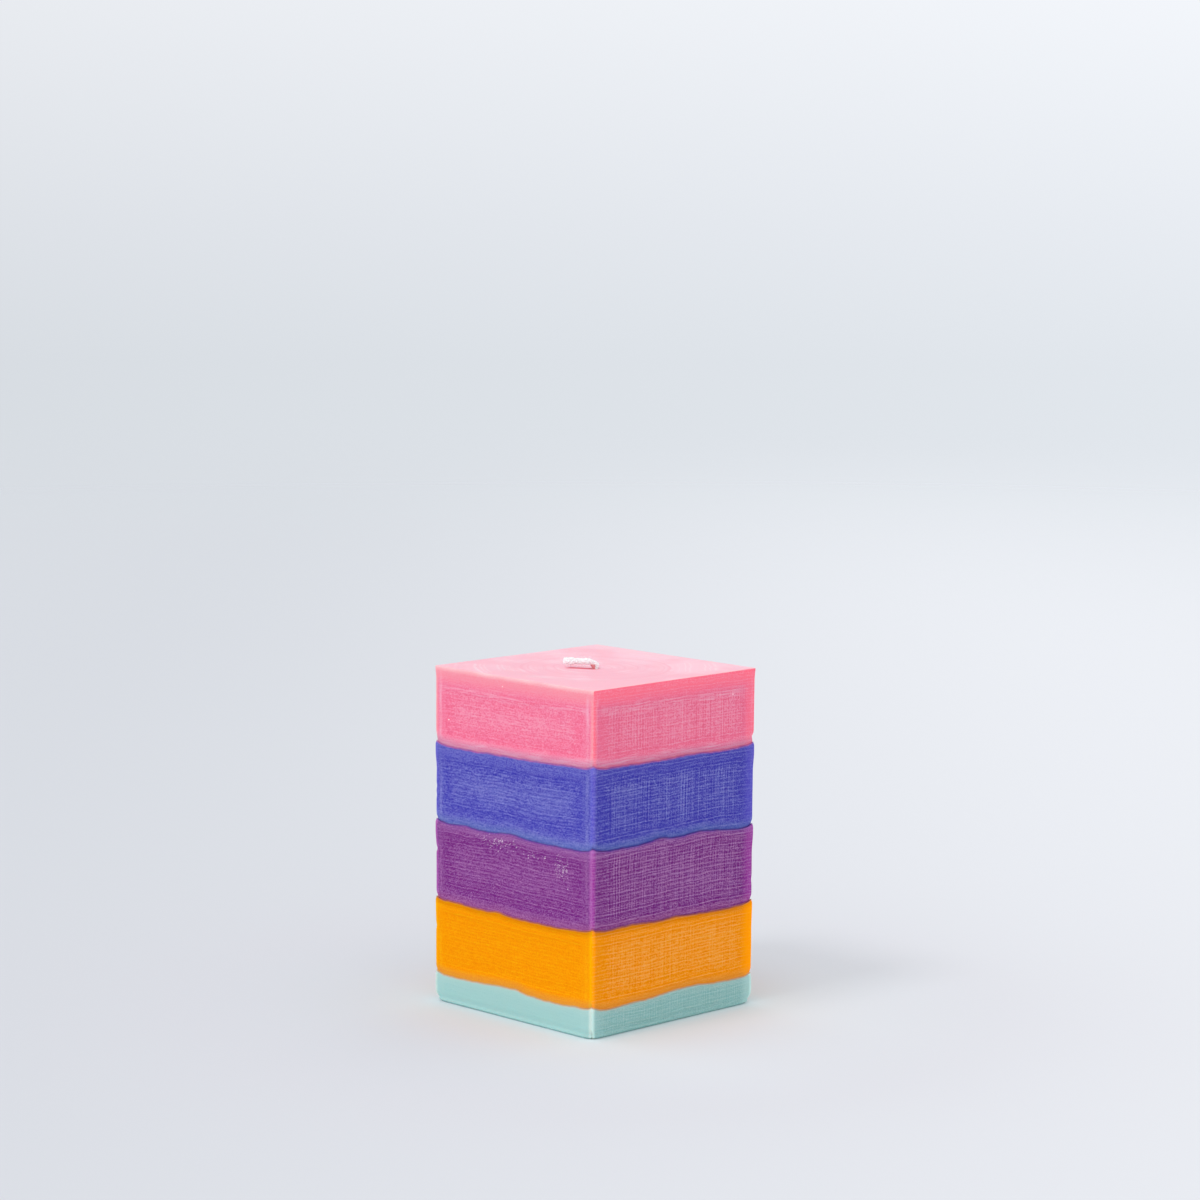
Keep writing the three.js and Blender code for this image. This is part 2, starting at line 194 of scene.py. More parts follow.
# From the base up. The walls of a pour lie inset inside the widest outline, and headSwell less near its
# head. Each swell is a wall (0 is -Y, then anticlockwise), a distance along it, a height and a reach. A
# panelDrop past the pour's own height leaves no panel. Names with shade give painted shade: colours and
# amounts of their own for the X walls, which face away from the lamp. paleRim and glowRim are painted light
# along the edges of the Y and of the X walls, and glow is painted light, given off by the wax, for the light
# that comes through the X walls and through their edges; farCover is how much of the frost the glow of the
# back edges hides. The last three rows are the strengths of the marks, which waxMaterial draws.
pours = [
    {
        "name": "mintPour", "node": "mint_base_layer", "slot": "mint_wax", "thickness": 8.1, "rows": 34,
        "inset": 0.1, "headSwell": 0.0, "notchHeight": 0.8, "panelDrop": 99.0,
        "swells": [(0, -13, 0.25, 8), (0, -2, 0.85, 8), (0, 2.5, 0.4, 3), (0, 28, 0.4, 5),
                   (1, -27, -0.3, 6), (1, 5, 1.1, 13), (2, 12, 0.7, 9), (3, -10, 0.8, 11)],
        "body": shown(157, 202, 199), "deep": shown(122, 176, 174),
        "frost": shown(232, 244, 243), "shadeFrost": shown(232, 244, 243),
        "paleRim": shown(201, 224, 217), "glowRim": shown(206, 240, 234),
        "headTone": shown(204, 214, 206), "headMix": 0.14,
        "glow": (0.0, 0.08), "farRim": 0.25, "farCover": 0.4, "footMargin": 2.0, "headMargin": 0.5,
        "strokes": 0.05, "lines": 0.5, "linenGain": 2.5, "threads": 0.55, "deepening": 0.25,
        "film": 0.02, "shadeFilm": -0.06, "haze": 0.05, "shadeHaze": 0.0, "shade": 0.3, "shadeHead": 0.0,
        "frame": 0.03, "outline": 0.0, "headLine": 0.0, "footBand": 0.0, "headBand": 0.03,
    },
    {
        "name": "orangePour", "node": "orange_layer", "slot": "orange_wax", "thickness": 22.1, "rows": 70,
        "inset": 0.2, "headSwell": 0.1, "notchHeight": 0.9, "panelDrop": 0.0,
        "swells": [(0, -24, 0.5, 9), (0, -6, 0.5, 3.5), (0, 28, 0.4, 6), (1, -19, 0.75, 10),
                   (1, 1, 0.5, 6), (1, 22, -0.3, 10), (2, -8, 0.6, 8), (3, 6, 0.5, 7)],
        "body": shown(250, 150, 0), "deep": shown(226, 112, 0),
        "frost": shown(255, 207, 24), "shadeFrost": shown(255, 178, 99),
        "paleRim": shown(253, 174, 0), "glowRim": shown(255, 152, 0),
        "footTone": shown(160, 137, 98), "footMix": 0.29,
        "headTone": shown(140, 70, 0), "headMix": 0.36,
        "glow": (0.055, 0.25), "farRim": 0.6, "farCover": 1.3, "footMargin": 2.6, "headMargin": 0.6,
        "strokes": 0.56, "lines": 0.75, "linenGain": 0.55, "threads": 0.8, "deepening": 0.7,
        "film": 0.02, "shadeFilm": 0.25, "haze": 0.0, "shadeHaze": 0.0, "shade": 0.0, "shadeHead": 0.0,
        "frame": 0.05, "outline": 0.2, "headLine": 0.0, "footBand": 0.02, "headBand": 0.1,
    },
    {
        "name": "purplePour", "node": "purple_layer", "slot": "purple_wax", "thickness": 23.4, "rows": 70,
        "inset": 0.3, "headSwell": 0.22, "notchHeight": 0.9, "panelDrop": 0.0,
        "swells": [(0, -20, 0.6, 3.5), (0, -1, 0.8, 6), (1, -6, 0.9, 5), (1, 10, 0.8, 7),
                   (1, 30, -0.9, 8), (2, 4, 0.7, 9), (3, -14, 0.6, 6)],
        "body": shown(118, 36, 127), "deep": shown(88, 20, 98),
        "frost": shown(226, 174, 226), "shadeFrost": shown(226, 178, 226),
        "paleRim": shown(168, 82, 168), "glowRim": shown(160, 54, 158),
        "footTone": shown(200, 80, 60), "footMix": 0.1,
        "headTone": shown(140, 110, 190), "headMix": 0.1,
        "glow": (0.0, 0.05), "farRim": 0.7, "farCover": 0.2, "footMargin": 3.0, "headMargin": 2.0,
        "strokes": 0.42, "lines": 0.68, "linenGain": 0.05, "threads": 0.62, "deepening": 0.5,
        "film": 0.08, "shadeFilm": 0.0, "haze": 0.075, "shadeHaze": 0.035, "shade": 0.0, "shadeHead": 0.9,
        "frame": 0.04, "outline": 0.10, "headLine": 0.0, "footBand": 0.11, "headBand": 0.12,
    },
    {
        "name": "indigoPour", "node": "indigo_layer", "slot": "indigo_wax", "thickness": 23.3, "rows": 70,
        "inset": 0.3, "headSwell": 0.24, "notchHeight": 0.9, "panelDrop": 0.0,
        "swells": [(0, -20, -0.3, 12), (0, 24, 0.4, 9), (1, -20, 0.4, 14), (1, 6, 0.6, 10),
                   (1, 28, 0.3, 7), (2, -15, 0.5, 10), (3, 10, -0.4, 12)],
        "body": shown(66, 62, 176), "deep": shown(44, 42, 138),
        "frost": shown(204, 210, 248), "shadeFrost": shown(204, 210, 248),
        "paleRim": shown(88, 82, 198), "glowRim": shown(100, 92, 202),
        "footTone": shown(86, 117, 172), "footMix": 0.42,
        "headTone": shown(140, 130, 190), "headMix": 0.06,
        "glow": (0.0, 0.03), "farRim": 0.6, "farCover": 0.6, "footMargin": 4.0, "headMargin": 3.4,
        "strokes": 0.42, "lines": 0.5, "linenGain": 0.0, "threads": 0.52, "deepening": 0.6,
        "film": 0.125, "shadeFilm": -0.06, "haze": 0.05, "shadeHaze": 0.0, "shade": 0.0, "shadeHead": 0.1,
        "frame": 0.05, "outline": 0.13, "headLine": 0.06, "footBand": 0.13, "headBand": 0.04,
    },
    {
        "name": "pinkPour", "node": "pink_top_layer", "slot": "pink_wax", "thickness": 23.1, "rows": 80,
        "inset": 0.18, "headSwell": 0.0, "notchHeight": 2.2, "panelDrop": 3.4,
        "body": shown(245, 112, 148), "deep": shown(214, 78, 110),
        "frost": shown(248, 214, 232), "shadeFrost": shown(248, 214, 234),
        "paleRim": shown(253, 149, 160), "glowRim": shown(255, 113, 134),
        "footTone": shown(70, 90, 140), "footMix": 0.33,
        "glow": (0.03, 0.14), "farRim": 0.55, "farCover": 0.0, "footMargin": 3.2, "headMargin": 5.0,
        "strokes": 0.40, "lines": 0.43, "linenGain": 0.0, "threads": 0.55, "deepening": 0.6,
        "film": 0.15, "shadeFilm": -0.06, "haze": 0.042, "shadeHaze": 0.0, "shade": 0.0, "shadeHead": 0.0,
        "frame": 0.06, "outline": 0.28, "headLine": 0.24, "footBand": 0.33, "headBand": 0.0,
    },
]
foot = {
    "inset": 0.7,
    "lipHeight": 0.6,
    "lipInset": 0.08,
    "grooveHeight": 1.4,
    "grooveInset": 0.3,
    "rise": 2.8,
    "cornerInset": 1.2,         # how much further the foot draws in at the corners
    "cornerReach": 1.3,
    "cornerHeight": 1.7,
}
top = {
    "rimFlare": 3.6,
    "rimRounding": 0.3,
    "dishRadius": 26.0,
    "dishDepth": 0.3,
    "dishSlope": 1.5,
    "wellRadius": 7.0,
    "wellDepth": 0.25,
    "ringHeight": 0.03,         # shallow ring marks in the top
    "ringWidth": 0.5,
    "ringRadii": (11.5, 15.5, 20.0, 23.4, 28.8),
}
# Chips in the vertical edges: edge (0 is -X -Y, then anticlockwise), height, depth and reach
edgeChips = [(0, 45.7, 0.28, 0.7), (0, 64.3, 0.14, 0.8), (0, 61.6, 0.12, 0.7), (2, 79.8, 0.3, 0.7),
             (2, 37.0, 0.1, 0.9), (1, 54.6, 0.16, 0.8), (3, 70.2, 0.2, 0.7), (3, 26.4, 0.16, 0.9),
             (0, 22.5, 0.12, 0.8)]


def ease(value, start, end):
    share = np.clip((value - start) / (end - start), 0, 1)
    return share * share * (3 - 2 * share)


def wallPlace(wall, along):
    turn = wall * math.pi / 2
    return (along * math.cos(turn) + half * math.sin(turn), along * math.sin(turn) - half * math.cos(turn))


def seamLevel(index):
    return sum(pour["thickness"] for pour in pours[:index])


def surfaceHeight(index, x, y):
    level = seamLevel(index)
    radius = np.hypot(x, y)
    if index == 0:
        return np.zeros_like(x)
    if index == len(pours):
        dish = 1 - ease(radius, top["dishRadius"] - top["dishSlope"], top["dishRadius"] + top["dishSlope"])
        well = 1 - ease(radius, block["channelRadius"], top["wellRadius"])
        height = level - top["dishDepth"] * dish - top["wellDepth"] * well
        for ring in top["ringRadii"]:
            height = height - top["ringHeight"] * np.exp(-((radius - ring) / top["ringWidth"]) ** 2)
        return height
    fromWall = half - np.maximum(abs(x), abs(y))
    fromCorner = np.hypot(half - abs(x), half - abs(y))
    height = level + block["cornerLift"] * np.exp(-fromCorner / block["cornerLiftReach"])
    height -= block["middleSink"] * (1 - np.exp(-fromWall / block["middleSinkReach"]))
    for wall, along, swell, reach in pours[index - 1]["swells"]:
        swellX, swellY = wallPlace(wall, along)
        height += swell * np.exp(-((x - swellX) ** 2 + (y - swellY) ** 2) / reach ** 2)
    return height


def slowNoise(points, size):
    return np.array([noise.noise(Vector(point) / size) for point in points])


def pointsOf(mesh):
    places = np.empty(len(mesh.vertices) * 3, np.float32)
    mesh.vertices.foreach_get("co", places)
    return places.reshape(-1, 3).astype(float) / mm


def movePoints(mesh, points):
    mesh.vertices.foreach_set("co", (points * mm).astype(np.float32).ravel())
    mesh.update()


# A cube cut into an even grid, with its cuts then drawn towards the edges and the wick
def cutBlock(name, low, high, rows):
    bpy.ops.object.select_all(action="DESELECT")
    bpy.ops.mesh.primitive_cube_add(size=1, location=(0, 0, (low + high) / 2 * mm),
                                    scale=(2 * half * mm, 2 * half * mm, (high - low) * mm))
    piece = bpy.context.object
    piece.name = name
    piece.data.name = name
    bpy.ops.object.transform_apply(location=True, rotation=True, scale=True)
    bpy.ops.object.mode_set(mode="EDIT")
    bpy.ops.mesh.select_mode(type="EDGE")
    for axis, cuts in ((2, rows - 1), (0, block["columns"] - 1), (1, block["columns"] - 1)):
        editMesh = bmesh.from_edit_mesh(piece.data)
        for edge in editMesh.edges:
            run = edge.verts[1].co - edge.verts[0].co
            edge.select_set(abs(run[axis]) > 0.99 * run.length)
        editMesh.select_flush_mode()
        bmesh.update_edit_mesh(piece.data)
        bpy.ops.mesh.subdivide(number_cuts=cuts)
    bpy.ops.object.mode_set(mode="OBJECT")

    x, y, z = pointsOf(piece.data).T
    across, deep, rise = x / half, y / half, (z - low) / (high - low)
    crowd = block["crowding"]
    x = half * (across - crowd * np.sin(2 * math.pi * across) / (2 * math.pi))
    y = half * (deep - crowd * np.sin(2 * math.pi * deep) / (2 * math.pi))
    rise = rise - block["rowCrowding"] * np.sin(2 * math.pi * rise) / (2 * math.pi)
    movePoints(piece.data, np.stack([x, y, low + rise * (high - low)], 1))
    return piece


# The hole for the wick, bridged from the lower face to the upper one
def cutChannel(piece):
    bpy.ops.object.mode_set(mode="EDIT")
    bpy.ops.mesh.select_mode(type="FACE")
    editMesh = bmesh.from_edit_mesh(piece.data)
    for face in editMesh.faces:
        middle = face.calc_center_median()
        isCap = abs(face.normal.z) > 0.9
        face.select_set(isCap and math.hypot(middle.x, middle.y) < block["channelRadius"] * mm)
    bmesh.update_edit_mesh(piece.data)
    bpy.ops.mesh.bridge_edge_loops()
    editMesh = bmesh.from_edit_mesh(piece.data)
    for vertex in editMesh.verts:
        radius = math.hypot(vertex.co.x, vertex.co.y)
        isLoop = any(abs(edge.verts[0].co.z - edge.verts[1].co.z) > mm for edge in vertex.link_edges)
        if isLoop and radius < 2 * block["channelRadius"] * mm:
            vertex.co.x *= block["channelRadius"] * mm / radius
            vertex.co.y *= block["channelRadius"] * mm / radius
    bmesh.update_edit_mesh(piece.data)
    bpy.ops.object.mode_set(mode="OBJECT")


def makePour(index):
    pour = pours[index]
    isFirst, isLast = index == 0, index == len(pours) - 1
    low = seamLevel(index)
    high = low + pour["thickness"]
    piece = cutBlock(pour["name"], low, high, pour["rows"])
    cutChannel(piece)
    x, y, z = pointsOf(piece.data).T
    rise = (z - low) / (high - low)
    onWall = np.maximum(abs(x), abs(y)) > 0.9999 * half
    fromEdge = half - np.minimum(abs(x), abs(y))

    # Round the vertical edges
    corner = half - block["edgeRadius"]
    cornerX, cornerY = np.maximum(abs(x) - corner, 0), np.maximum(abs(y) - corner, 0)
    length = np.maximum(np.hypot(cornerX, cornerY), 1e-9)
    pull = np.where((cornerX > 0) & (cornerY > 0), np.maximum(cornerX, cornerY) / length, 1)
    x = np.sign(x) * np.where(cornerX > 0, corner + cornerX * pull, abs(x))
    y = np.sign(y) * np.where(cornerY > 0, corner + cornerY * pull, abs(y))

    bottom, ceiling = surfaceHeight(index, x, y), surfaceHeight(index + 1, x, y)
    z = bottom + rise * (ceiling - bottom)
    above, below = z - bottom, ceiling - z

    # How far the walls lie inside the widest outline
    nearEdge = np.exp(-fromEdge / block["notchReach"])
    depth = np.full_like(x, pour["inset"]) - pour["headSwell"] * (1 - ease(below, *block["headSwellReach"]))
    if not isFirst:
        share = np.exp(-(above / pour["notchHeight"]) ** 2)
        depth += block["notchInset"] * nearEdge * share
    if not isLast:
        depth += block["headInset"] * nearEdge * np.exp(-(below / block["headHeight"]) ** 2)
    panel = ease(fromEdge, *block["panelSide"]) * ease(above, *block["panelFoot"])
    panel *= ease(below, *(margin + pour["panelDrop"] for margin in block["panelHead"]))
    depth += block["panelDepth"] * panel - block["ridgeHeight"] * 4 * panel * (1 - panel)
    spots = np.stack([x, y, z], 1)
    clear = np.minimum(1, np.minimum(above, below) / block["wanderFade"])
    depth += block["wander"] * slowNoise(spots, block["wanderSize"]) * clear
    depth += block["stroke"] * slowNoise(spots / np.array(block["strokeSize"]), 1.0) * (0.3 + 0.7 * panel)
    for edge, height, chip, reach in edgeChips:
        edgeX, edgeY = wallPlace(edge, -half)
        distance = np.sqrt((x - edgeX) ** 2 + (y - edgeY) ** 2 + (z - height) ** 2)
        depth += chip * np.exp(-(distance / reach) ** 2)
    if isFirst:
        turned = [foot["inset"], foot["lipInset"], foot["grooveInset"], pour["inset"]]
        heights = [0, foot["lipHeight"], foot["grooveHeight"], foot["rise"]]
        depth = np.where(above < foot["rise"], np.interp(above, heights, turned), depth)
        footShare = np.exp(-(above / foot["cornerHeight"]) ** 2)
        depth += foot["cornerInset"] * np.exp(-fromEdge / foot["cornerReach"]) * footShare
    if isLast:
        rounding = top["rimRounding"]
        bite = np.clip(1 - below / rounding, 0, 1)
        depth = depth * ease(below, 0, top["rimFlare"]) + rounding * (1 - np.sqrt(1 - bite ** 2))
    depth = np.maximum(depth, 0)

    # The walls move in by their depth, and the caps are drawn in with them
    inward = np.clip((half - np.maximum(abs(x), abs(y))) / block["capReach"], 0, 1)
    depth = np.where(onWall, depth, depth * (1 - inward))
    scale = 1 - depth / half
    movePoints(piece.data, np.stack([x * scale, y * scale, z], 1))
    onTop = ((~onWall) & (rise > 0.5)) * float(isLast)
    layers = {"aboveSeam": above, "belowSeam": below, "fromEdge": fromEdge, "onTop": onTop}
    for name, values in layers.items():
        layer = piece.data.attributes.new(name, "FLOAT", "POINT")
        layer.data.foreach_set("value", np.asarray(values, np.float32))
    bpy.ops.object.shade_smooth()
    piece.data.materials.append(waxMaterial(index))
    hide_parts(pour["node"])
    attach(piece, "root")
    print("pour made:", pour["name"], len(piece.data.polygons), "faces")


wax = {
    "linePitch": 1.42,          # height between two long level lines
    "finerLines": 1.53,         # how many finer lines there are to each long one
    "threadPitch": 1.04,        # between two upright threads on the X walls
    "frameWidth": 4.3,
    "frameSoftness": 3.0,
    "heartReach": 8.0,          # from the frame to where the frost is full
    "outline": (2.4, 1.0),      # place and width of the pale line inside the frame
    "headLine": (6.4, 2.6),     # the same, below the head of a pour
    "footBand": (1.2, 3.6),     # where the frosted bands start and end to fade
    "headBand": (1.2, 3.4),
    "rim": (0.5, 1.75),         # where the glow of the edges starts and ends to fade
    "farRim": (5.5, 2.0),       # the same, as distances from the back edges
    "headGlow": (1.5, 6.0),     # the same, below the top
    "lipFade": (0.2, 1.7),      # the same, for the painted highlight under the rim
    "footToneReach": 3.2,       # how far the neighbour's colour reaches above and below a seam
    "headToneReach": 2.4,
    "seamLine": (0.2, 1.0),
    "seamBlend": 0.5,
    "noise": {                  # sizes in mm along X, Y and Z
        "longWave": (26, 26, 60),
        "shortWave": (5, 5, 3),
        "lineFade": (7, 7, 1.1),
        "dashes": (2.4, 2.4, 0.5),
        "grain": (0.36, 0.36, 0.32),
        "threadSway": (6, 6, 30),
        "threadFade": (1.6, 1.6, 14),
        "fineThreads": (0.42, 0.42, 40),
        "patches": (16, 16, 11),
        "ragged": (7, 7, 3.5),
        "streaks": (7, 7, 0.45),
        "seamRag": (3.2, 3.2, 3.2),
        "cloud": (14, 14, 14),
        "rings": (1.3, 1, 1),
    },
    "roughness": 0.42,
    "frostRoughness": 0.2,      # added where the frost is full
    "bump": 0.25,
    "bumpDepth": 0.06,
    "specular": 0.015,
    "ior": 1.44,
    "scatter": 0.22,
    "scatterDepth": 1.8,
    "scatterColour": (1.0, 0.4, 0.3),
    # painted highlight under the rim
    "lip": shown(255, 226, 226),
    # The top is pale partly from frost and partly from painted sheen
    "topFace": shown(250, 186, 202),
    "topPale": shown(252, 200, 214),
    "topRing": shown(246, 168, 188),
    "topStreak": shown(254, 224, 232),
    "disc": (24, 27),           # where the rings of the top fade out
    # painted shadow under the wick's tail
    "tailShade": shown(226, 66, 92),
    "tailShadeStart": (-2.0, 0.5),      # along the wick's tail
    "tailShadeEnd": (6.5, 9.5),
    "tailShadeSide": (1.0, 2.0),        # its middle line, aside from the tail, and its width
}


def waxMaterial(index):
    pour = pours[index]
    isFirst, isLast = index == 0, index == len(pours) - 1
    material = bpy.data.materials.new(pour["name"] + "Wax")
    shader = Shader(material)
    above, below = shader.attribute("aboveSeam"), shader.attribute("belowSeam")
    fromEdge = shader.attribute("fromEdge")
    place = shader.objectPlace()
    lateral = shader.part(place, 1) / mm
    sideways = shader.part(shader.node("ShaderNodeTexCoord", output=1), 0)
    # The mask below is 1 on the X walls, which carry the linen threads and the painted shade of walls away
    # from the lamp
    linenAndShade = shader.ease(sideways * sideways, 0.3, 0.6)      # 1 on the X walls, 0 on the others

    def pattern(name, detail=1, vector=place, roughness=0.5):
        return shader.noise(vector, wax["noise"][name], detail, roughness)

    # Grain, short level dashes, long fine lines and, on the X walls, upright threads
    wave = pattern("longWave") * 2.4 + pattern("shortWave") * 0.5
    lifted = shader.node("ShaderNodeCombineXYZ", inputs={2: wave * mm})
    waved = shader.node("ShaderNodeVectorMath", {"operation": "ADD"}, {0: place, 1: lifted})
    turns = shader.part(waved, 2) * (2 * math.pi / (wax["linePitch"] * mm))
    crest = shader.sine(turns) * 0.5 + 0.5
    finer = shader.sine(turns * wax["finerLines"] + 1) * 0.5 + 0.5
    fade = 0.25 + 0.75 * shader.ease(pattern("lineFade", 2, waved), 0.36, 0.66)
    fineLines = crest ** 10 * fade * 0.75 + finer ** 7 * (1.25 - fade) * 0.75 - 0.17
    dashes = pattern("dashes", 1, waved) - 0.5
    grain = pattern("grain", roughness=0.7) - 0.5
    strokes = fineLines * (0.8 + 0.45 * linenAndShade) * pour["lines"] + dashes * 0.6
    weft = lateral * (2 * math.pi / wax["threadPitch"]) + pattern("threadSway") * 9
    comb = shader.sine(weft) * 0.5 + 0.5
    threads = comb ** 3 * (0.08 + pattern("threadFade") * 0.28) - 0.07
    threads = (threads + (pattern("fineThreads", 0) - 0.5) * 0.55) * linenAndShade
    patches = shader.ease(pattern("patches"), 0.36, 0.64)
    streaks = shader.ease(pattern("streaks", 1, waved), 0.42, 0.66)

    # Where the frost lies: a pale frame, a deep ring inside it, and frost that grows to the middle
    ragged = pattern("ragged", 2) * 2.2 - 1.1
    footMargin = pour["footMargin"] * (1 - linenAndShade * 0.25)
    headMargin = pour["headMargin"] * (1 - linenAndShade * pour["shadeHead"])
    inFrame = shader.softLeast(fromEdge - wax["frameWidth"], above - footMargin, wax["frameSoftness"])
    inFrame = shader.softLeast(inFrame, below - headMargin, wax["frameSoftness"]) + ragged * 0.7
    inside = shader.ease(inFrame, -0.4, 0.6)
    heart = shader.ease(inFrame, -0.5, wax["heartReach"] - linenAndShade * 2.5) * (0.8 + 0.2 * patches)
    outline = shader.line(fromEdge + ragged * 0.4 + linenAndShade, *wax["outline"])
    outline = outline * (0.3 + 0.7 * patches) * (1 - linenAndShade * 0.6)
    outline = outline * shader.ease(below, 0.5, 3.0) * shader.ease(above, 1.0, 3.0)
    headLine = shader.line(below + ragged * 1.4, *wax["headLine"]) * shader.ease(fromEdge, 1.5, 4.5)
    headLine = headLine * (0.15 + 0.85 * streaks)
    footBand = (1 - shader.ease(above + ragged, *wax["footBand"])) * (0.4 + 0.6 * streaks)
    headBand = (1 - shader.ease(below + ragged, *wax["headBand"])) * (0.4 + 0.6 * streaks)

    # How strong each mark is
    reach = inside + linenAndShade * (1 - inside) * 0.6
    strokes = strokes * (0.4 + 0.6 * reach) + grain * (1.5 + 0.5 * inside)
    strokes = strokes * (1 + linenAndShade * pour["linenGain"])
    threads = threads * (0.15 + 0.85 * shader.ease(inFrame, -0.8, 3.5))
    frost = strokes * pour["strokes"] + threads * pour["threads"]
    frost = frost + heart * (pour["film"] + linenAndShade * pour["shadeFilm"])
    frost = frost + (1 - inside) * (1 - linenAndShade * 0.8) * pour["frame"] + outline * pour["outline"]
    frost = frost + headLine * pour["headLine"]
    frost = frost + footBand * pour["footBand"] + headBand * pour["headBand"]
    frost = shader.clamp(frost + pour["haze"] + linenAndShade * pour["shadeHaze"])

    # Painted light: the edges are lightened as if lit through the wax, most widely where the X walls end at
    # the back
    rim = 1 - shader.ease(fromEdge + ragged * 0.25, *wax["rim"])
    farRim = shader.ease(lateral + ragged * 0.5, *(half - away for away in wax["farRim"]))
    farRim = farRim * linenAndShade * pour["farRim"]
    rim = rim + farRim - rim * farRim
    if isLast:
        # On the top pour, painted light also lightens the walls below the top edge
        headGlow = (1 - shader.ease(below + ragged * 0.5, *wax["headGlow"])) * 0.8
        rim = rim + headGlow - rim * headGlow
    # The marks deepen the body colour, and on the X walls painted shade deepens it too, away from their
    # edges
    deepening = (strokes + threads) * -pour["deepening"] + linenAndShade * pour["shade"] * shader.ease(fromEdge, 1.5, 6.0)
    bare = shader.mix(shader.clamp(deepening) * (1 - rim), pour["body"], pour["deep"])
    rimColour = shader.mix(linenAndShade, pour["paleRim"], pour["glowRim"])
    frostColour = shader.mix(linenAndShade, pour["frost"], pour["shadeFrost"])
    face = shader.mix(rim * 0.9, bare, rimColour)
    face = shader.mix(frost * (1 - farRim * pour["farCover"]), face, frostColour)

    # The seams are soft and a little ragged: both pours share the line where their colours meet
    ragLine = (pattern("seamRag") - 0.5) * 0.6
    blend = wax["seamBlend"]
    if not isFirst:
        footShare = 1 - shader.ease(above, 0, wax["footToneReach"])
        face = shader.mix(footShare * pour["footMix"], face, pour["footTone"])
        seamLine = (1 - shader.ease(above - ragLine, *wax["seamLine"])) * (0.1 + 0.4 * linenAndShade)
        face = shader.mix(seamLine, face, pour["deep"])
        face = shader.mix(1 - shader.ease(above - ragLine, -blend, blend), face, pours[index - 1]["body"])
    if not isLast:
        headShare = 1 - shader.ease(below, 0, wax["headToneReach"])
        face = shader.mix(headShare * pour["headMix"], face, pour["headTone"])
        face = shader.mix(shader.ease(-1 * below - ragLine, -blend, blend), face, pours[index + 1]["body"])

    # Painted light: the wax gives off a glow for the light that comes through it, most of all at the edges
    # of the walls away from the lamp
    through = linenAndShade * (pour["glow"][0] + rim * pour["glow"][1])
    if isLast:
        onTop = shader.attribute("onTop")
        # Painted highlight: a pale band under the rim of the Y walls
        lip = (1 - shader.ease(below, *wax["lipFade"])) * (1 - linenAndShade) * (0.35 + 0.25 * patches)
        face = shader.mix(lip, face, wax["lip"])
        face = shader.mix(onTop, face, topColour(shader, place, pattern("cloud", 3)))
        through = through * (1 - onTop)
    bump = shader.node("ShaderNodeBump", inputs={
        "Strength": wax["bump"], "Distance": wax["bumpDepth"] * mm, "Height": strokes + threads})
    surface = shader.node("ShaderNodeBsdfPrincipled", inputs={
        "Base Color": face, "Roughness": wax["roughness"] + wax["frostRoughness"] * frost, "Normal": bump,
        "IOR": wax["ior"], "Specular IOR Level": wax["specular"],
        "Emission Color": shader.mix(through, (0, 0, 0, 1), pour["glowRim"]), "Emission Strength": 1.0,
        "Subsurface Weight": wax["scatter"], "Subsurface Radius": wax["scatterColour"],
        "Subsurface Scale": wax["scatterDepth"] * mm})
    shader.node("ShaderNodeOutputMaterial", inputs={"Surface": surface})
    material.cycles.emission_sampling = "NONE"
    return material


# The top face is cloudy, with uneven rings in its dish. Its paleness is partly frost and partly painted
# sheen, which grows towards the back and right, and a painted shadow lies under the wick's tail
def topColour(shader, place, cloud):
    flat = shader.node("ShaderNodeVectorMath", {"operation": "MULTIPLY"}, {0: place, 1: (1, 1, 0)})
    radius = shader.length(flat) / mm
    uneven = shader.node("ShaderNodeCombineXYZ", inputs={0: (radius + cloud * 5) * mm})
    rings = shader.noise(uneven, wax["noise"]["rings"])
    disc = 1 - shader.ease(radius + cloud * 2, *wax["disc"])
    # Painted sheen: the top grows paler towards the back and right, over its cloudy frost
    paler = cloud + shader.dot(place, (1, 1, 0)) / (500 * mm) + shader.dot(place, (-1, 1, 0)) / (320 * mm)
    plate = shader.mix(shader.ease(paler, 0.38, 0.66), wax["topFace"], wax["topPale"])
    plate = shader.mix(shader.ease(rings, 0.45, 0.65) * disc * 0.42, plate, wax["topRing"])
    streak = shader.ease(rings, 0.5, 0.36) * shader.ease(cloud, 0.47, 0.6) * 0.4
    plate = shader.mix(streak, plate, wax["topStreak"])
    # Painted shadow: a deep red band on the wax under the wick's tail
    outward, aside = wickHeading()
    along, beside = shader.dot(place, outward) / mm, shader.dot(place, aside) / mm
    tailShade = shader.ease(along, *wax["tailShadeStart"]) * (1 - shader.ease(along, *wax["tailShadeEnd"]))
    tailShade = shader.clamp(tailShade * shader.line(beside, *wax["tailShadeSide"]) * 1.1)
    return shader.mix(tailShade, plate, wax["tailShade"])


# Wick

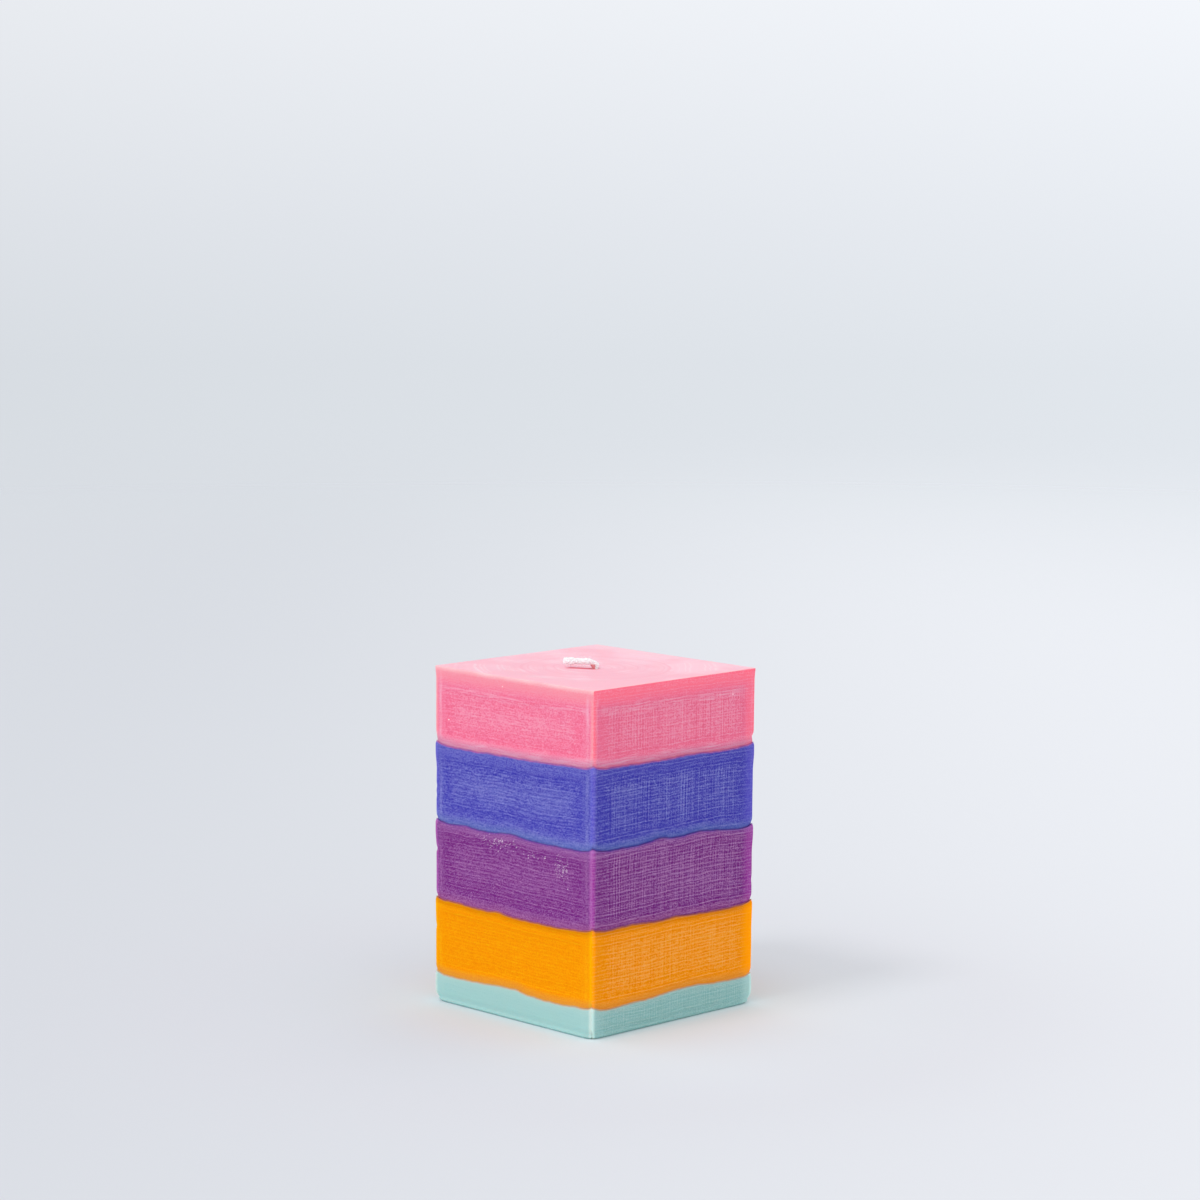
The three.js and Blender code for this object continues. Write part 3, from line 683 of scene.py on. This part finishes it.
wick = {
    "strandsEachWay": 4,
    "pitch": 4.6,               # height of one turn of a strand
    "strandWidth": 0.66,
    "ringRadius": 0.66,         # from the middle of the wick to the middle of a strand
    "weave": 0.13,              # how far a strand goes over and under the others
    "unevenness": 0.12,
    "coreWidth": 1.3,           # the core keeps the braid from being hollow
    "heading": 225.4,
    "baseRecess": 0.5,
    "waxHeight": 99.45,
    "neckLean": 0.6,
    "neckShare": 0.45,          # how high the neck is, from the wax to the tail
    "tailHeight": 101.58,
    "tailLength": 9.6,
    "ceiling": 102.79,          # no strand stands above it
    "fibreCeiling": 102.73,
    "width": 2.3,
    "neckWidth": 1.25,
    "tipWidth": 2.45,
    "tipLength": 2.4,           # the last stretch, which opens a little
    "tipSplay": 0.05,
    "heelSide": 0.35,           # the two heel strands lie this far aside
    "stepsPerTurn": 18,
    "tuftFibres": 110,          # at the cut end
    "strayFibres": 46,          # along the tail
    "strayReach": 8,
    "fibreStart": 0.48,         # from the middle line, as a share of the width
    "fibreWidth": 0.07,
    "fibreTaper": (1.2, 1.1, 1, 0.8, 0.5),
    "colour": shown(255, 255, 255),
    "shade": shown(222, 222, 226),
    "stainShade": shown(216, 84, 92),        # where red wax has soaked into the heel of the bend, darkened with painted shade and red light reflected from the wax
    "stainShadeStart": (-0.15, 0.2),         # along the tail
    "stainShadeEnd": (1.9, 2.3),
    "stainShadeTop": (101.0, 101.5),
    # painted light: the cotton gives off a faint glow, as if lit through
    "glow": 0.10,
}


# The ways along the wick's tail and across it
def wickHeading():
    turn = math.radians(wick["heading"])
    return (math.cos(turn), math.sin(turn), 0), (-math.sin(turn), math.cos(turn), 0)


def smoothLine(stations, samples):
    knots = np.array([stations[0]] + stations + [stations[-1]], float)
    made = []
    for first, second, third, fourth in zip(knots, knots[1:], knots[2:], knots[3:]):
        for t in np.arange(samples) / samples:
            made.append(0.5 * (2 * second + (third - first) * t
                               + (2 * first - 5 * second + 4 * third - fourth) * t ** 2
                               + (3 * second - 3 * third + fourth - first) * t ** 3))
    made.append(knots[-2])
    return np.array(made)


# Points of the wick's middle line, one every step: along its tail, up, and its width there
def wickRoute():
    waxTop, tail, length = wick["waxHeight"], wick["tailHeight"], wick["tailLength"]
    lean, neck = wick["neckLean"], wick["neckShare"] * (wick["tailHeight"] - wick["waxHeight"])
    bent = [(0, waxTop - 2.3, wick["width"]), (-lean / 2, waxTop - 0.31, wick["neckWidth"]),
            (-lean, waxTop + neck, wick["neckWidth"]), (0.2, tail - 0.62, 1.4),
            (1.4, tail - 0.12, 1.85), (2.6, tail - 0.05, 2.05), (4.6, tail - 0.04, 2.0),
            (0.72 * length, tail, wick["tipWidth"]), (0.88 * length, tail + 0.02, wick["tipWidth"]),
            (length - 0.3, tail + 0.1, 1.5)]
    line = np.concatenate([[(0, wick["baseRecess"], wick["width"])], smoothLine(bent, 12)])
    lengths = np.concatenate([[0], np.cumsum(np.hypot(*np.diff(line[:, :2], axis=0).T))])
    even = np.arange(0, lengths[-1], wick["pitch"] / wick["stepsPerTurn"])
    return np.stack([np.interp(even, lengths, column) for column in line.T], 1), even


def tube(name, routes, widths, sides):
    bpy.ops.object.select_all(action="DESELECT")
    curve = bpy.data.curves.new(name, "CURVE")
    curve.dimensions = "3D"
    curve.bevel_depth = 0.5 * mm
    curve.bevel_resolution = sides
    curve.use_fill_caps = True
    for route, width in zip(routes, widths):
        spline = curve.splines.new("POLY")
        spline.points.add(len(route) - 1)
        spline.points.foreach_set("co", np.concatenate([route * mm, np.ones((len(route), 1))], 1).ravel())
        spline.points.foreach_set("radius", width)
    piece = bpy.data.objects.new(name, curve)
    bpy.context.collection.objects.link(piece)
    piece.select_set(True)
    bpy.context.view_layer.objects.active = piece
    bpy.ops.object.convert(target="MESH")
    return bpy.context.object


def makeWick():
    route, along = wickRoute()
    share = route[:, 2] / wick["width"]
    outward, aside = (np.array(way) for way in wickHeading())
    upward = np.array([0, 0, 1.0])
    step = np.gradient(route[:, :2], axis=0)
    step /= np.hypot(*step.T)[:, None]
    middle = route[:, :1] * outward + route[:, 1:2] * upward
    crosswise = step[:, 1:] * outward - step[:, :1] * upward
    splay = 1 + wick["tipSplay"] * ease(along, along[-1] - wick["tipLength"], along[-1])

    # Two families of strands wind opposite ways, over and under each other
    routes, widths = [], []
    strands = wick["strandsEachWay"]
    for way in (1, -1):
        phase = 0 if way > 0 else 0.5
        for strand in range(strands):
            angle = 2 * math.pi * (way * along / wick["pitch"] + (strand + phase) / strands)
            over = np.cos(2 * math.pi * (strands * along / wick["pitch"] + phase) + strand * math.pi)
            radius = (wick["ringRadius"] + wick["weave"] * over * way) * share * splay
            radius = radius + wick["unevenness"] * slowNoise(middle + strand * 7 * way, 0.9)
            around = np.cos(angle)[:, None] * crosswise + np.sin(angle)[:, None] * aside
            routes.append(middle + radius[:, None] * around)
            widths.append(wick["strandWidth"] * share ** 0.7)
    routes.append(middle)
    widths.append(wick["coreWidth"] * share)

    # A short heel of waxed strands fills the bend
    waxTop, tail = wick["waxHeight"], wick["tailHeight"]
    heel = smoothLine([(0.15, waxTop - 0.5, 1.2), (0.55, waxTop + 0.6, 1.1), (1.25, tail - 0.75, 0.9)], 8)
    for side in (-wick["heelSide"], wick["heelSide"]):
        routes.append(heel[:, :1] * outward + heel[:, 1:2] * upward + side * aside)
        widths.append(heel[:, 2])
    braid = tube("wickBraid", routes, widths, 2)

    # Fibres stand out of the cut end, and a few stray ones out of the tail
    fibres, fibreWidths = [], []
    tipOut = step[-1, 0] * outward + step[-1, 1] * upward
    firstStray = int(len(middle) - wick["strayReach"] / (wick["pitch"] / wick["stepsPerTurn"]))
    for count in range(wick["tuftFibres"] + wick["strayFibres"]):
        isTuft = count < wick["tuftFibres"]
        angle = random.uniform(0, 2 * math.pi)
        if isTuft:
            station = len(middle) - 1 - int(random.uniform(0, 5))
            spread = random.uniform(0.2, 1.0)
        else:
            station = random.randrange(firstStray, len(middle))
            spread = 1.0
        side = math.cos(angle) * crosswise[station] + math.sin(angle) * aside
        start = middle[station] + side * spread * wick["fibreStart"] * route[station, 2]
        lead = tipOut * (1.0 if isTuft else random.uniform(-1, 1)) + side * random.uniform(0.0, 0.9)
        if isTuft:
            start = start - tipOut * 0.5
        lead = lead / np.linalg.norm(lead)
        length = random.uniform(0.5, 1.0) if isTuft else random.uniform(0.5, 1.3)
        curl = side * random.uniform(-0.4, 0.25) + np.array([random.uniform(-0.3, 0.3) for axis in range(3)])
        reach = np.linspace(0, 1, len(wick["fibreTaper"]))[:, None]
        fibre = start + lead * length * reach + curl * length * reach ** 2
        fibre[:, 2] = np.clip(fibre[:, 2], waxTop + 0.4, wick["fibreCeiling"])
        fibres.append(fibre)
        fibreWidths.append(wick["fibreWidth"] * np.array(wick["fibreTaper"]))
    fuzz = tube("wickFuzz", fibres, fibreWidths, 0)

    material = cottonMaterial()
    for piece in (braid, fuzz):
        points = pointsOf(piece.data)
        points[:, 2] = np.minimum(points[:, 2], wick["ceiling"])
        movePoints(piece.data, points)
        piece.data.materials.append(material)
        bpy.ops.object.select_all(action="DESELECT")
        piece.select_set(True)
        bpy.ops.object.shade_smooth()
        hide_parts("wick")
        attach(piece, "root")
    print("wick made:", len(braid.data.polygons) + len(fuzz.data.polygons), "faces")


def cottonMaterial():
    material = bpy.data.materials.new("waxedCotton")
    shader = Shader(material)
    place = shader.objectPlace()
    threads = shader.noise(place, (0.25, 0.25, 0.25), detail=3, roughness=0.6)
    tangle = shader.noise(place, (1.1, 1.1, 1.1))
    colour = shader.mix(shader.ease(threads, 0.56, 0.4) * 0.8, wick["colour"], wick["shade"])
    # The heel of the bend: red wax soaked into the cotton, with painted shade and reflected red light on it
    along = shader.dot(place, wickHeading()[0]) / mm
    height = shader.part(place, 2) / mm
    stainShade = shader.ease(along, *wick["stainShadeStart"]) * (1 - shader.ease(height + threads, *wick["stainShadeTop"]))
    stainShade = stainShade * (1 - shader.ease(along, *wick["stainShadeEnd"]))
    bump = shader.node("ShaderNodeBump", inputs={
        "Strength": 0.6, "Distance": 0.08 * mm, "Height": threads + tangle * 0.5})
    # Painted light: the cotton glows faintly, except at the heel
    surface = shader.node("ShaderNodeBsdfPrincipled", inputs={
        "Base Color": shader.mix(stainShade * 0.8, colour, wick["stainShade"]), "Roughness": 0.8, "Normal": bump,
        "Specular IOR Level": 0.2, "Emission Color": shader.mix(stainShade, colour, (0, 0, 0, 1)),
        "Emission Strength": wick["glow"], "Sheen Weight": 0.3, "Sheen Roughness": 0.5,
        "Subsurface Weight": 0.2, "Subsurface Radius": (1.0, 0.9, 0.9), "Subsurface Scale": 0.5 * mm})
    shader.node("ShaderNodeOutputMaterial", inputs={"Surface": surface})
    material.cycles.emission_sampling = "NONE"
    return material


# Crumbs of pale wax that stick to the walls

crumbs = {
    # Wall, distance along it, height and size of each
    "places": [(0, -27.3, 84.6, 0.32), (0, -9.3, 75.0, 0.3), (0, -4.2, 97.0, 0.26), (1, 23.6, 93.2, 0.32),
               (0, 22.8, 42.0, 0.22), (0, -6.0, 48.7, 0.2), (2, 11.0, 61.0, 0.28), (3, -17.0, 88.0, 0.3),
               (2, -14.0, 24.0, 0.26), (3, 12.0, 40.0, 0.25)],
    "clusters": [{"wall": 0, "along": (-16, 2.5), "height": 51.9, "fall": -0.05, "spread": 0.6,
                  "sizes": (0.12, 0.3), "count": 44},
                 {"wall": 0, "along": (-13, 14), "height": 50.2, "fall": -0.05, "spread": 0.8,
                  "sizes": (0.08, 0.2), "count": 50},
                 {"wall": 0, "along": (17.5, 23.0), "height": 47.6, "fall": 0.1, "spread": 1.7,
                  "sizes": (0.07, 0.15), "count": 110}],
    "roughening": 0.18,         # how uneven a crumb is, as a share of its size
    "standOut": 0.62,           # how far one stands out at most, as a share of its size
    "colour": shown(250, 248, 248),
    "shade": shown(236, 226, 230),
    # painted light: the crumbs give off a glow, to look brighter
    "glow": 0.55,
}


def crumbPlaces():
    places = list(crumbs["places"])
    for cluster in crumbs["clusters"]:
        for count in range(cluster["count"]):
            along = random.uniform(*cluster["along"])
            slope = cluster["fall"] * (along - sum(cluster["along"]) / 2)
            height = cluster["height"] + slope + random.gauss(0, cluster["spread"])
            places.append((cluster["wall"], along, height, random.uniform(*cluster["sizes"])))
    return places


# Each crumb is set where a ray from outside meets the wall, and stays inside the widest outline
def makeCrumbs():
    parts = []
    for wall, along, height, size in crumbPlaces():
        bpy.ops.object.select_all(action="DESELECT")
        turn = wall * math.pi / 2
        inward = Vector((-math.sin(turn), math.cos(turn), 0))
        outside = Vector((*wallPlace(wall, along), height)) * mm - inward * 5 * mm
        depsgraph = bpy.context.evaluated_depsgraph_get()
        spot = bpy.context.scene.ray_cast(depsgraph, outside, inward)[1]
        beyond = (size * crumbs["standOut"] - half) * mm - spot.dot(inward)
        spot += inward * max(beyond, 0)
        bpy.ops.mesh.primitive_ico_sphere_add(subdivisions=1, radius=size / 2 * mm, location=spot)
        crumb = bpy.context.object
        bpy.ops.object.mode_set(mode="EDIT")
        bpy.ops.transform.vertex_random(offset=crumbs["roughening"] * size * mm, seed=len(parts))
        bpy.ops.object.mode_set(mode="OBJECT")
        bpy.ops.object.transform_apply(location=True, rotation=True, scale=True)
        parts.append(crumb)
    for part in parts:
        part.select_set(True)
    bpy.context.view_layer.objects.active = parts[0]
    bpy.ops.object.join()
    piece = bpy.context.object
    piece.name = "waxCrumbs"
    bpy.ops.object.shade_smooth()
    piece.data.materials.append(crumbMaterial())
    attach(piece, "root")
    print("crumbs set:", len(parts))


def crumbMaterial():
    material = bpy.data.materials.new("paleCrumb")
    shader = Shader(material)
    tone = shader.noise(shader.objectPlace(), (0.2, 0.2, 0.2))
    colour = shader.mix(tone, crumbs["colour"], crumbs["shade"])
    # Painted light: the crumbs glow with their own colour
    surface = shader.node("ShaderNodeBsdfPrincipled", inputs={
        "Base Color": colour, "Roughness": 0.5, "Emission Color": colour,
        "Emission Strength": crumbs["glow"]})
    shader.node("ShaderNodeOutputMaterial", inputs={"Surface": surface})
    material.cycles.emission_sampling = "NONE"
    return material


# Stage

camera = {
    "place": (721.41, -709.42, 248.62),
    "yaw": 135.4117,
    "pitch": -7.2669,
    "roll": 0.3947,
    "focalPixels": 3499.84,
    "imagePixels": 1200,
    "sensor": 36.0,
    "farthest": 30,             # metres, to see the whole floor
}
studio = {
    "floorRadius": 6.0,
    "floorFade": (0.7, 2.2),
    "rightwards": (0.70, 0.71, 0),
    "floorAcross": (-0.28, 0.3),
    "floorDark": shown(211, 214, 220),
    "floorLight": shown(231, 233, 238),
    "nearAcross": (-0.07, 0.06),        # painted light and shade on the paper close to the candle, darker to the left
    "nearReach": (0.045, 0.13),
    "nearDark": shown(214, 221, 226),
    "nearLight": shown(233, 240, 244),
    "keyTowards": (-0.075, -0.60, 0.80),
    "keySpread": 15,            # degrees across
    "keyStrength": 0.5,
    "sky": (0.985, 0.993, 1.0, 1),
    "skyStrength": 0.95,
    "skyTilt": (-0.12, -0.32, 0),       # the room is brighter towards these sides
    "backdrop": [(-0.16, shown(226, 230, 236)), (-0.0934, shown(221, 226, 232)),
                 (-0.059, shown(221, 226, 232)), (-0.02, shown(227, 231, 237)),
                 (0.043, shown(238, 241, 246))],
    "backdropAcross": 0.3,      # how much brighter it gets rightwards
}


def makeCamera():
    yaw, pitch, roll = (math.radians(camera[key]) for key in ("yaw", "pitch", "roll"))
    forward = Vector((math.cos(pitch) * math.cos(yaw), math.cos(pitch) * math.sin(yaw), math.sin(pitch)))
    level = Vector((math.sin(yaw), -math.cos(yaw), 0))
    upright = level.cross(forward)
    right = math.cos(roll) * level + math.sin(roll) * upright
    up = math.cos(roll) * upright - math.sin(roll) * level
    bpy.ops.object.select_all(action="DESELECT")
    bpy.ops.object.camera_add()
    lens = bpy.context.object
    turn = Matrix((right, up, -forward)).transposed().to_4x4()
    lens.matrix_world = Matrix.Translation(Vector(camera["place"]) * mm) @ turn
    lens.data.sensor_width = camera["sensor"]
    lens.data.sensor_fit = "HORIZONTAL"
    lens.data.lens = camera["sensor"] * camera["focalPixels"] / camera["imagePixels"]
    lens.data.clip_end = camera["farthest"]
    bpy.context.scene.camera = lens


def makeFloor():
    bpy.ops.object.select_all(action="DESELECT")
    bpy.ops.mesh.primitive_circle_add(vertices=96, radius=studio["floorRadius"], fill_type="NGON")
    floor = bpy.context.object
    floor.name = "paperFloor"
    material = bpy.data.materials.new("palePaper")
    shader = Shader(material)
    place = shader.objectPlace()
    # Painted light and shade on the paper: darker to the left and lighter to the right, far off and close to
    # the candle
    across, distance = shader.dot(place, studio["rightwards"]), shader.length(place)
    far = shader.mix(shader.ease(across, *studio["floorAcross"]), studio["floorDark"], studio["floorLight"])
    near = shader.mix(shader.ease(across, *studio["nearAcross"]), studio["nearDark"], studio["nearLight"])
    tone = shader.mix(shader.ease(distance, *studio["nearReach"]), near, far)
    paper = shader.node("ShaderNodeBsdfDiffuse", inputs={"Color": tone})
    clear = shader.node("ShaderNodeBsdfTransparent")
    isCamera = shader.node("ShaderNodeLightPath")
    fade = shader.ease(distance, *studio["floorFade"]) * isCamera
    faded = shader.node("ShaderNodeMixShader", inputs={0: fade, 1: paper, 2: clear})
    shader.node("ShaderNodeOutputMaterial", inputs={"Surface": faded})
    floor.data.materials.append(material)


# The camera sees the backdrop, painted with the light and shade of the paper sweep, which grows brighter
# rightwards, and the wax is lit by an even sky that is brighter on one side
def makeLights():
    world = bpy.context.scene.world or bpy.data.worlds.new("world")
    bpy.context.scene.world = world
    shader = Shader(world)
    direction = shader.node("ShaderNodeTexCoord", output=0)
    height = shader.part(direction, 2)
    low, high = studio["backdrop"][0][0], studio["backdrop"][-1][0]
    stops = [((place - low) / (high - low), colour) for place, colour in studio["backdrop"]]
    backdrop = shader.node("ShaderNodeValToRGB", {"stops": stops}, {0: (height - low) / (high - low)})
    brightness = 1.0 + shader.dot(direction, studio["rightwards"]) * studio["backdropAcross"]
    seen = shader.node("ShaderNodeBackground", inputs={"Color": backdrop, "Strength": brightness})
    strength = (shader.dot(direction, studio["skyTilt"]) + 1) * studio["skyStrength"]
    light = shader.node("ShaderNodeBackground", inputs={"Color": studio["sky"], "Strength": strength})
    isCamera = shader.node("ShaderNodeLightPath")
    both = shader.node("ShaderNodeMixShader", inputs={0: isCamera, 1: light, 2: seen})
    shader.node("ShaderNodeOutputWorld", inputs={"Surface": both})
    bpy.ops.object.select_all(action="DESELECT")
    bpy.ops.object.light_add(type="SUN")
    key = bpy.context.object
    key.name = "softKey"
    key.data.angle = math.radians(studio["keySpread"])
    key.data.energy = studio["keyStrength"]
    key.rotation_euler = (-Vector(studio["keyTowards"])).to_track_quat("-Z", "Y").to_euler()
    print("stage set: floor, sky and key light")


makeCamera()
for index in range(len(pours)):
    makePour(index)
makeWick()
makeCrumbs()
makeFloor()
makeLights()
bpy.context.scene.view_settings.view_transform = "Standard"
